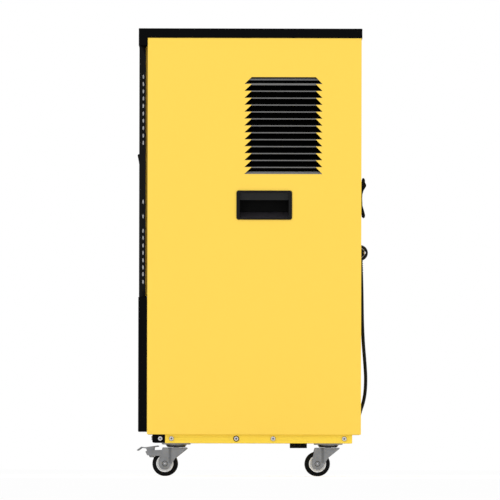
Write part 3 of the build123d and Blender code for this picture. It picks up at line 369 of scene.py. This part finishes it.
def grille_mesh():
    bm = bmesh.new()
    store = {}

    def keep(x, y, z):
        key = (round(x * 1e6), round(y * 1e6), round(z * 1e6))
        if key not in store:
            store[key] = bm.verts.new((x, y, z))
        return store[key]

    cols, rows = 54, 32
    u_lo, v_lo = -cols * PITCH_U / 2, 0.6092 - rows * PITCH_V / 2

    def face(u, v):
        return keep(u, GY0, v)

    for c in range(cols):
        u0, u1 = u_lo + c * PITCH_U, u_lo + (c + 1) * PITCH_U
        shift = PITCH_V / 2 if c % 2 else 0.0
        spans = [(v_lo + r * PITCH_V + shift, v_lo + (r + 1) * PITCH_V + shift) for r in range(rows - (1 if c % 2 else 0))]
        for v0, v1 in spans:
            cell(bm, face, u0, u1, v0, v1, (u0 + u1) / 2, (v0 + v1) / 2, 0.00215, 0.0045)
        if c % 2:
            for v0 in (v_lo, v_lo + rows * PITCH_V - PITCH_V / 2):
                v1 = v0 + PITCH_V / 2
                left = [face(u0, v0), face(u0 + PITCH_U / 4, v0), face(u0 + PITCH_U / 2, v0), face(u0 + 3 * PITCH_U / 4, v0)] if v0 > v_lo else [face(u0, v0)]
                low = left + [face(u1, v0), face(u1, v0 + PITCH_V / 4), face(u1, v1)]
                high = [face(u1 - PITCH_U / 4, v1), face(u1 - PITCH_U / 2, v1), face(u1 - 3 * PITCH_U / 4, v1)] if v0 == v_lo else []
                bm.faces.new(low + high + [face(u0, v1), face(u0, v0 + PITCH_V / 4)])
    u_hi, v_hi = -u_lo, v_lo + rows * PITCH_V

    # side returns with their column of slots
    cuts = []
    for i, z in enumerate(RETURN_ZS):
        cuts.append((z - 0.0068, z + 0.0068, z))
    cuts.sort()
    edges_z = [GZ0]
    for lo, hi, z in cuts:
        edges_z += [lo, hi]
    edges_z.append(GZ1)
    for s in (-1, 1):
        def side(u, v, s=s):
            return keep(s * GX, u, v)

        for lo, hi, z in cuts:
            cell(bm, side, GY0, GY1, lo, hi, -0.2172, z, 0.0014, 0.0042)
        blanks = [(GZ0, cuts[0][0])] + [(a[1], b[0]) for a, b in zip(cuts, cuts[1:])] + [(cuts[-1][1], GZ1)]
        dy = (GY1 - GY0) / 4
        for i, (lo, hi) in enumerate(blanks):
            low = [side(GY0, lo)] + ([side(GY0 + k * dy, lo) for k in (1, 2, 3)] if i > 0 else []) + [side(GY1, lo)]
            high = [side(GY1, hi)] + ([side(GY1 - k * dy, hi) for k in (1, 2, 3)] if i < len(blanks) - 1 else []) + [side(GY0, hi)]
            bm.faces.new(low + high)
    # plain margins of the face
    for s in (-1, 1):
        inner = [face(s * -u_lo, v_lo + k * PITCH_V / 4) for k in range(rows * 4 + 1)]
        outer = []
        for lo, hi, z in cuts:
            dv = (hi - lo) / 4
            outer += [face(s * GX, lo + k * dv) for k in range(5)]
        bm.faces.new([face(s * GX, GZ0)] + outer + [face(s * GX, GZ1), face(s * -u_lo, GZ1)] + list(reversed(inner)) + [face(s * -u_lo, GZ0)])
    steps = []
    for c in range(cols):
        steps += [u_lo + c * PITCH_U + k * PITCH_U / 4 for k in range(4)]
    steps.append(u_hi)
    low_row = [x for i, x in enumerate(steps) if i % 4 == 0 or (i // 4) % 2 == 0]
    bm.faces.new([face(u_lo, GZ0), face(u_hi, GZ0)] + [face(x, v_lo) for x in reversed(low_row)])
    bm.faces.new([face(u_hi, GZ1), face(u_lo, GZ1)] + [face(x, v_hi) for x in low_row])
    # top and bottom returns
    for z in (GZ0, GZ1):
        bm.faces.new([keep(-GX, GY0, z), keep(u_lo, GY0, z), keep(u_hi, GY0, z), keep(GX, GY0, z), keep(GX, GY1, z), keep(-GX, GY1, z)])
    bmesh.ops.remove_doubles(bm, verts=bm.verts, dist=1e-6)
    bmesh.ops.recalc_face_normals(bm, faces=bm.faces)
    return as_object(bm, "intake_grille_sheet", [M["grille"]], angle=30)


grille = grille_mesh()
outward = sum((p.normal.y < 0) * p.area for p in grille.data.polygons if abs(p.normal.y) > 0.9)
inward = sum((p.normal.y > 0) * p.area for p in grille.data.polygons if abs(p.normal.y) > 0.9)
s = grille.modifiers.new("sheet", "SOLIDIFY")
s.thickness, s.use_even_offset, s.offset = SHEET, True, (-1 if outward > inward else 1)
w = grille.modifiers.new("normals", "WEIGHTED_NORMAL")
w.keep_sharp = True
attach(grille, "grille")
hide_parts("intake_grille")

bm = bmesh.new()
for x in (-0.216, 0.216):
    for z in (0.380, 0.820):
        lathe(bm, [(0.0046, 0), (0.0046, 0.0100), (0.0052, 0.0108), (0.0070, 0.0108), (0.0075, 0.0102), (0.0080, 0.0)], (x, -0.2240, z), (0, 1, 0), 32, closed=True)
sockets = as_object(bm, "grille_sockets", [M["plastic"]])
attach(sockets, "grille")

# air filter: pale frame, pleated dark mesh in nine bays
bm = bmesh.new()
FY0, FY1 = -0.2226, -0.2146
block(bm, -0.2362, 0.2362, FY0, FY1, 0.3630, 0.3760, 0)
block(bm, -0.2362, 0.2362, FY0, FY1, 0.8410, 0.8540, 0)
block(bm, -0.2362, -0.2010, FY0, FY1, 0.3760, 0.8410, 0)
block(bm, 0.2010, 0.2362, FY0, FY1, 0.3760, 0.8410, 0)
for z in (0.531, 0.686):
    block(bm, -0.2010, 0.2010, FY0 + 0.0006, FY1 - 0.0006, z - 0.004, z + 0.004, 0)
for x in (-0.067, 0.067):
    for z0, z1 in ((0.376, 0.527), (0.535, 0.682), (0.690, 0.841)):
        block(bm, x - 0.004, x + 0.004, FY0 + 0.0010, FY1 - 0.0010, z0, z1, 0)
filter_frame = as_object(bm, "air_filter_frame", [M["filter_frame"]], smooth=False)
bevel(filter_frame, 0.0005)
bm = bmesh.new()
pleats = 134
for i in range(pleats):
    x0 = -0.2005 + 0.401 * i / pleats
    x1 = -0.2005 + 0.401 * (i + 1) / pleats
    ya, yb = (-0.2205, -0.2167) if i % 2 else (-0.2167, -0.2205)
    prism(bm, [(x0, ya), (x1, yb), (x1, yb + 0.0003), (x0, ya + 0.0003)], 0.3755, 0.8415, "XY")
bmesh.ops.remove_doubles(bm, verts=bm.verts, dist=1e-6)
filter_media = as_object(bm, "air_filter_media", [M["filter"]], smooth=False)
for o in (filter_frame, filter_media):
    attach(o, "grille")
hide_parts("air_filter")


# ------------------------------------------------------------------ coils: real fins on copper tubes
def coil(name, y0, y1):
    bm = bmesh.new()
    n = 150
    for i in range(n):
        x = -0.1985 + 0.397 * (i + 0.5) / n
        block(bm, x - 0.00012, x + 0.00012, y0, y1, 0.3625, 0.8395, 0)
    fins = as_object(bm, f"{name}_fins", [M["fin"]], smooth=False)
    bm = bmesh.new()
    for s in (-1, 1):
        lo, hi = sorted((s * 0.2000, s * 0.2015))
        block(bm, lo, hi, y0 - 0.002, y1 + 0.002, 0.361, 0.842, 0)
    plates = as_object(bm, f"{name}_plates", [M["galv"]], smooth=False)
    bm = bmesh.new()
    yc = (y0 + y1) / 2
    for s, zs in ((-1, [0.430 + 0.060 * i for i in range(7)]), (1, [0.460 + 0.060 * i for i in range(6)])):
        for z in zs:
            pts = [(s * 0.2000, yc, z - 0.014)]
            for k in range(9):
                a = math.pi * k / 8
                pts.append((s * (0.2015 + 0.014 * math.sin(a)), yc, z - 0.014 * math.cos(a)))
            pts.append((s * 0.2000, yc, z + 0.014))
            tube(bm, pts, 0.0040, 12)
    bends = as_object(bm, f"{name}_bends", [M["copper"]], angle=50)
    for o, slot in ((fins, "fins"), (plates, "galvanised"), (bends, "copper")):
        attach(o, "cabinet")
    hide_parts(name)


coil("evaporator", -0.196, -0.152)
coil("condenser", -0.146, -0.102)


# ------------------------------------------------------------------ louvres
LOUVRE_TOP, LOUVRE_LOW, LOUVRE_ROWS = 0.7984, 0.6044, 14
LP = (LOUVRE_TOP - LOUVRE_LOW) / LOUVRE_ROWS


def louvre(side, s):
    bm = bmesh.new()
    X = lambda v: s * v
    # flange behind the panel and a box frame
    for y0, y1, z0, z1 in ((-0.0240, 0.1500, 0.7995, 0.8090), (-0.0240, 0.1500, 0.5940, 0.6030), (-0.0240, -0.0165, 0.6030, 0.7995), (0.1427, 0.1500, 0.6030, 0.7995)):
        block(bm, *sorted((X(0.2362), X(0.2387))), y0, y1, z0, z1, 1)
    for y0, y1, z0, z1 in ((-0.0195, 0.1457, 0.7995, 0.8040), (-0.0195, 0.1457, 0.5990, 0.6030), (-0.0195, -0.0165, 0.6030, 0.7995), (0.1427, 0.1457, 0.6030, 0.7995)):
        block(bm, *sorted((X(0.2220), X(0.2362))), y0, y1, z0, z1, 1)
    # slats: a sloped blade, and its rounded outer edge in the grey edge finish, a painted highlight
    for i in range(1, LOUVRE_ROWS):
        z = LOUVRE_TOP - i * LP - 0.0005
        prism(bm, [(X(0.2372), z - 0.0010), (X(0.2372), z + 0.0009), (X(0.2225), z + 0.0136), (X(0.2225), z + 0.0120)], -0.0166, 0.1428, "XZ", 1)
        h = 0.0011 if i > 1 else 0.0019
        edge = [(X(0.2372), z - h), (X(0.2380), z - h), (X(0.2384), z - h * 0.6), (X(0.2384), z + h * 0.6), (X(0.2380), z + h), (X(0.2372), z + h)]
        prism(bm, edge, -0.0166, 0.1428, "XZ", 0)
    # the top one leans back under the panel's edge; its grey top finish is a painted reflection
    prism(bm, [(X(0.2384), 0.7922), (X(0.2384), 0.7934), (X(0.2225), 0.8030), (X(0.2225), 0.8016)], -0.0166, 0.1428, "XZ", 2)
    # sill, its front strip in the grey top finish as a painted highlight
    prism(bm, [(X(0.2384), 0.6030), (X(0.2384), 0.6064), (X(0.2340), 0.6096), (X(0.2340), 0.6030)], -0.0166, 0.1428, "XZ", 2)
    prism(bm, [(X(0.2340), 0.6030), (X(0.2340), 0.6096), (X(0.2225), 0.6186), (X(0.2225), 0.6030)], -0.0166, 0.1428, "XZ", 1)
    # dark duct behind the slats
    for y0, y1, z0, z1 in ((-0.0195, 0.1457, 0.8035, 0.8050), (-0.0195, 0.1457, 0.5978, 0.5993)):
        block(bm, *sorted((X(0.2140), X(0.2222))), y0, y1, z0, z1, 1)
    o = as_object(bm, f"louvre_{side}_slats", [M["slat"], M["slat_black"], M["slat_top_painted_light"]], smooth=False)
    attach(o, "cabinet")
    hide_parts(f"louvre_{side}")


louvre("left", 1)
louvre("right", -1)


# ------------------------------------------------------------------ screws
def pan_screw(bm, centre, axis, r=0.0050, washer=None):
    """A pan head with a cross recess, and a washer under it."""
    if washer is not None:
        lathe(bm, [(0.0024, 0.0), (r * washer, 0.0), (r * washer, 0.0007), (r * washer - 0.0003, 0.0010), (0.0024, 0.0010)], centre, axis, 32, 1, closed=True)
    base = 0.0010 if washer is not None else 0.0
    prof = [(0.0024, base), (r * 0.96, base), (r, base + 0.0004), (r * 0.985, base + 0.0011), (r * 0.90, base + 0.0017), (r * 0.70, base + 0.0021), (r * 0.52, base + 0.0022)]
    axis_v = Vector(axis).normalized()
    u = Vector((0, 0, 1)) if abs(axis_v.z) < 0.9 else Vector((1, 0, 0))
    v = axis_v.cross(u)
    c = Vector(centre)
    n = 32
    lathe(bm, prof, centre, axis, n, 0)
    top = base + 0.0022
    # recess: outer circle to cross outline, cross walls, cross floor; the walls and floor take the darker second
    # finish as painted shade in the recess
    a, b = r * 0.44, r * 0.15
    cross = []
    for q in range(4):
        ang = math.pi / 2 * q
        d, e = (math.cos(ang), math.sin(ang)), (-math.sin(ang), math.cos(ang))
        cross += [(d[0] * a - e[0] * b, d[1] * a - e[1] * b), (d[0] * a + e[0] * b, d[1] * a + e[1] * b), (d[0] * b * 1.2 + e[0] * b * 1.2, d[1] * b * 1.2 + e[1] * b * 1.2)]

    def ring(points, h):
        return [bm.verts.new(c + axis_v * h + u * p + v * q) for p, q in points]

    outer = ring(circle(r * 0.52, 12, start=-math.pi / 12 * 1.0), top)
    rim = ring(cross, top)
    low = ring([(p * 0.72, q * 0.72) for p, q in cross], top - 0.0013)
    m = len(cross)
    for i in range(m):
        j = (i + 1) % m
        bm.faces.new((outer[i], outer[j], rim[j], rim[i])).material_index = 0
        bm.faces.new((rim[i], rim[j], low[j], low[i])).material_index = 1
    bm.faces.new(low).material_index = 1
    lathe(bm, [(0.0, -0.0090), (0.0018, -0.0088), (0.0024, -0.0078), (0.0024, base)], centre, axis, 16, 0)


bm = bmesh.new()
for s in (-1, 1):
    for y in (-0.1820, -0.1596, -0.0300, 0.0438, 0.1862):
        ringed = abs(y + 0.0300) < 1e-6
        pan_screw(bm, (s * 0.2340, y, 0.0750), (s, 0, 0), 0.0046, 1.28 if ringed else 1.08)
        if ringed:
            for f in bm.faces:
                if f.material_index == 1 and abs(f.calc_center_median().y + 0.0300) < 0.008 and (f.calc_center_median().x > 0) == (s > 0):
                    f.material_index = 2
for x in (-0.215, 0.215):
    pan_screw(bm, (x, -0.1978, 0.0762), (0, -1, 0), 0.0043)
screws = as_object(bm, "panel_screws_detailed", [M["zinc"], M["galv_dark"], M["plastic"]], angle=30)
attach(screws, "cabinet")
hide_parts("panel_screws")


# ------------------------------------------------------------------ caster wheels
def caster_wheel(name, x, y, z=0.025):
    bm = bmesh.new()
    half = [(0.00305, 0.0116), (0.0050, 0.0116), (0.0070, 0.0114), (0.0075, 0.0108), (0.0078, 0.0084), (0.0090, 0.0078), (0.0125, 0.0078), (0.0140, 0.0082),
            (0.0148, 0.0090), (0.0160, 0.0093), (0.0169, 0.0092), (0.01715, 0.0088)]
    prof = half + [(r, -h) for r, h in reversed(half)]
    lathe(bm, prof, (x, y, z), (1, 0, 0), 72, 0, closed=True)
    rim = as_object(bm, f"caster_{name}_rim", [M["wheel"]], angle=40)
    bm = bmesh.new()
    half = [(0.0172, 0.0088), (0.0180, 0.0094), (0.0186, 0.0095), (0.0188, 0.0092), (0.0196, 0.0091), (0.0212, 0.0089), (0.0228, 0.0082), (0.0240, 0.0070), (0.0247, 0.0054), (0.0250, 0.0034), (0.0250, 0.0016), (0.02485, 0.0012), (0.02485, 0.0004), (0.0250, 0.0)]
    prof = half + [(r, -h) for r, h in reversed(half[:-1])]
    lathe(bm, prof, (x, y, z), (1, 0, 0), 96, 0, closed=True)
    tyre = as_object(bm, f"caster_{name}_tread", [M["tyre"]], angle=50)
    for o, slot, node in ((rim, "wheel_white", "wheel"), (tyre, "tyre_black", "tyre")):
        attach(o, f"wheel_{name}")
        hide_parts(f"caster_{name}_{node}")


def axle_heads(name, x, y, z=0.025):
    bm = bmesh.new()
    for s in (-1, 1):
        lathe(bm, [(0.0, 0.0026), (0.0012, 0.00255), (0.0014, 0.0019), (0.0026, 0.0019), (0.0029, 0.0024), (0.0040, 0.0022), (0.0045, 0.0016), (0.0046, 0.0002), (0.0046, 0.0), (0.0056, 0.0), (0.0058, -0.0002)],
              (x + s * 0.0146, y, z), (s, 0, 0), 32, 0)
    o = as_object(bm, f"caster_{name}_rivets", [M["zinc"]], angle=35)
    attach(o, f"fork_{name}")


for name, (x, y) in CASTERS.items():
    caster_wheel(name, x, y - 0.022)
    axle_heads(name, x, y - 0.022)

# rubber tips on the brake pedals
for name in ("front_left", "front_right"):
    x, y = CASTERS[name]
    py, pz = y - 0.022 - 0.0278, 0.0476
    bm = bmesh.new()
    prism(bm, [(py - 0.0130, pz + 0.0098), (py - 0.0192, pz + 0.0112), (py - 0.0262, pz + 0.0062), (py - 0.0250, pz + 0.0050), (py - 0.0188, pz + 0.0094), (py - 0.0134, pz + 0.0080)], x - 0.0098, x + 0.0098, "YZ", 0)
    tip = as_object(bm, f"caster_{name}_brake_pad", [M["rubber"]], smooth=False)
    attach(tip, f"brake_{name}")


# ------------------------------------------------------------------ mains lead
COIL = (0.1100, 0.5504)
lead = [(0.1566, 0.2096, 0.1780), (0.1566, 0.2096, 0.2300), (0.1572, 0.2092, 0.2920), (0.1578, 0.2085, 0.3520), (0.1579, 0.2077, 0.4100), (0.1574, 0.2070, 0.4680), (0.1568, 0.2066, 0.5260)]
tail = [(0.0633, 0.2136, 0.5260), (0.0626, 0.2134, 0.4700), (0.0618, 0.2131, 0.4120), (0.0612, 0.2127, 0.3540), (0.0609, 0.2123, 0.2960), (0.0609, 0.2119, 0.2380), (0.0612, 0.2116, 0.1800),
        (0.0616, 0.2115, 0.1250), (0.0456, 0.2117, 0.1026), (0.0196, 0.2122, 0.0940), (-0.0064, 0.2138, 0.1020), (-0.0222, 0.2172, 0.1240), (-0.0234, 0.2282, 0.1560), (-0.0234, 0.2310, 0.1940),
        (-0.0228, 0.2284, 0.2320), (-0.0218, 0.2250, 0.2720), (-0.0208, 0.2232, 0.3140), (-0.0202, 0.2226, 0.3520), (-0.0199, 0.2221, 0.3820), (-0.0200, 0.2212, 0.4090)]
turns = []
STEP = 16
for i in range(1, int(6.5 * STEP)):
    t = i / STEP
    if t <= 3:
        r, y = 0.0466 - 0.0072 * t, 0.2064
    elif t <= 3.5:
        k = (t - 3) / 0.5
        r, y = 0.0250, 0.2064 + 0.0072 * k * k * (3 - 2 * k)
    else:
        r, y = 0.0250 + 0.0072 * (t - 3.5), 0.2136
    a = 2 * math.pi * t
    grow = 1 / math.cos(math.pi / STEP)
    turns.append((COIL[0] + r * grow * math.cos(a), y, COIL[1] + r * grow * math.sin(a)))
route = lead + turns + tail
cord_curve = bpy.data.curves.new("mains_lead", "CURVE")
cord_curve.dimensions = "3D"
cord_curve.bevel_depth = 0.0035
cord_curve.bevel_resolution = 5
cord_curve.resolution_u = 10
cord_curve.use_fill_caps = True
spline = cord_curve.splines.new("NURBS")
spline.points.add(len(route) - 1)
for p, q in zip(spline.points, route):
    p.co = (*q, 1.0)
spline.order_u = 3
spline.use_endpoint_u = True
cord_curve.materials.append(M["cord"])
cord = link(bpy.data.objects.new("mains_lead", cord_curve))
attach(cord, "cabinet")
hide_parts("cord_lead", "cord_coil", "cord_tail")

# strain relief on the gland: a tapered, ringed sleeve
bm = bmesh.new()
prof = [(0.0036, 0.0005), (0.0068, 0.0005), (0.0068, 0.0022)]
for k in range(6):
    h = 0.0030 + 0.0040 * k
    r = 0.0066 - 0.0003 * k
    prof += [(r, h), (r, h + 0.0024), (r - 0.0012, h + 0.0028), (r - 0.0012, h + 0.0036)]
prof += [(0.0044, 0.0278), (0.0036, 0.0280)]
lathe(bm, prof, (0.1566, 0.2096, 0.1500), (0, 0, 1), 32, closed=True)
relief = as_object(bm, "gland_strain_relief", [M["rubber"]], angle=30)
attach(relief, "cabinet")


# ------------------------------------------------------------------ plug, seen end on
PX, PY, PZ = -0.0200, 0.2182, 0.4500
bm = bmesh.new()
prof = [(0.0, -0.0130), (0.0090, -0.0130), (0.0118, -0.0122), (0.0136, -0.0102), (0.0146, -0.0070), (0.0150, -0.0030), (0.0150, 0.0040), (0.0159, 0.0048), (0.0160, 0.0100), (0.0156, 0.0118), (0.0146, 0.0130),
        (0.0132, 0.0130), (0.0128, 0.0122), (0.0, 0.0122)]
lathe(bm, prof, (PX, PY, PZ), (1, 0, 0), 64, 0)
# grip ribs round the body
for k in range(10):
    a = math.radians(36 * k + 18)
    c, q = math.cos(a), math.sin(a)
    pts = []
    for h in (-0.0080, 0.0030):
        pts.append((PX + h, PY + 0.0147 * c, PZ + 0.0147 * q))
    if abs(a - math.radians(270)) > 0.5:
        tube(bm, pts, 0.0010, 8, 0)
# ring round the pin face
lathe(bm, [(0.0092, 0.0120), (0.0092, 0.0127), (0.0098, 0.0127), (0.0098, 0.0120)], (PX, PY, PZ), (1, 0, 0), 48, 1, closed=True)
for dy in (-0.0095, 0.0095):
    lathe(bm, [(0.0, 0.0315), (0.0012, 0.0314), (0.0020, 0.0308), (0.0024, 0.0298), (0.0024, 0.0118), (0.0, 0.0116)], (PX, PY + dy, PZ), (1, 0, 0), 24, 2)
# earth clips
for dz in (-1, 1):
    block(bm, PX - 0.0060, PX + 0.0128, PY - 0.0028, PY + 0.0028, *sorted((PZ + dz * 0.0128, PZ + dz * 0.0155)), 2)
plug_body = as_object(bm, "plug_body", [M["plug"], M["print"], M["zinc"]], angle=35)
bm = bmesh.new()
start, end = Vector((PX, PY, PZ - 0.0135)), Vector(tail[-1])
axis = end - start
L = axis.length
prof = [(0.0, -0.004), (0.0058, -0.004), (0.0058, 0.0010)]
for k in range(5):
    h = 0.0020 + (L - 0.0050) * k / 5
    r = 0.0056 - 0.00030 * k
    prof += [(r, h), (r, h + 0.0026), (r - 0.0011, h + 0.0031), (r - 0.0011, h + 0.0042)]
prof += [(0.0041, L - 0.0012), (0.0038, L), (0.0, L)]
lathe(bm, prof, start, axis, 32)
plug_relief = as_object(bm, "plug_relief", [M["plug"]], angle=30)
for o in (plug_body, plug_relief):
    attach(o, "cabinet")
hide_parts("plug")


# ------------------------------------------------------------------ control marks
for b, x in (("power", 0.008), ("mode", 0.034), ("up", 0.060), ("down", 0.086)):
    bm = bmesh.new()
    y0, y1 = -0.22652, -0.22636
    if b == "power":
        pts = []
        for k in range(13):
            a = math.radians(90 + 40 + 280 * k / 12)
            pts.append((x + 0.0027 * math.cos(a), -0.22642, 0.8785 + 0.0027 * math.sin(a)))
        tube(bm, pts, 0.00022, 6)
        tube(bm, [(x, -0.22642, 0.8785 + 0.0008), (x, -0.22642, 0.8785 + 0.0034)], 0.00022, 6)
    elif b == "mode":
        for k in range(3):
            tube(bm, [(x - 0.0026, -0.22642, 0.8765 + 0.0020 * k), (x + 0.0026, -0.22642, 0.8765 + 0.0020 * k)], 0.00022, 6)
    else:
        s = 1 if b == "up" else -1
        prism(bm, [(x - 0.0028, 0.8785 - s * 0.0016), (x + 0.0028, 0.8785 - s * 0.0016), (x, 0.8785 + s * 0.0026)], y0, y1, "XZ")
    mark = as_object(bm, f"button_{b}_mark", [M["print"]])
    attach(mark, f"button_{b}")
bm = bmesh.new()
for k in range(3):
    lathe(bm, [(0.0, 0.0006), (0.0008, 0.0004), (0.0011, 0.0), (0.0011, -0.0004), (0.0, -0.0004)], (-0.0090, -0.2254, 0.8725 + 0.006 * k), (0, -1, 0), 16)
leds = as_object(bm, "status_lights", [M["led"]])
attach(leds, "cabinet")


# ------------------------------------------------------------------ stage and light
bm = bmesh.new()
R = 60.0
vs = [bm.verts.new((x, y, 0.0)) for x, y in ((-R, -R), (R, -R), (R, R), (-R, R))]
bm.faces.new(vs)
floor = as_object(bm, "floor", [M["floor"]], smooth=False)

world = bpy.data.worlds.new("studio")
scene.world = world
world.use_nodes = True
world.node_tree.nodes["Background"].inputs["Color"].default_value = (1.0, 1.0, 1.0, 1)
world.node_tree.nodes["Background"].inputs["Strength"].default_value = 1.0


def area(name, place, target, size, power, color=(1, 1, 1)):
    data = bpy.data.lights.new(name, "AREA")
    data.shape, data.size, data.energy, data.color = "DISK", size, power, color
    o = link(bpy.data.objects.new(name, data))
    o.location = place
    o.rotation_mode = "QUATERNION"
    o.rotation_quaternion = (Vector(target) - Vector(place)).to_track_quat("-Z", "Y")
    return o


area("key", (3.2, -2.2, 3.4), (0, 0, 0.45), 2.4, 10)
area("top", (0.2, 0.0, 3.6), (0, 0, 0.45), 2.2, 12)
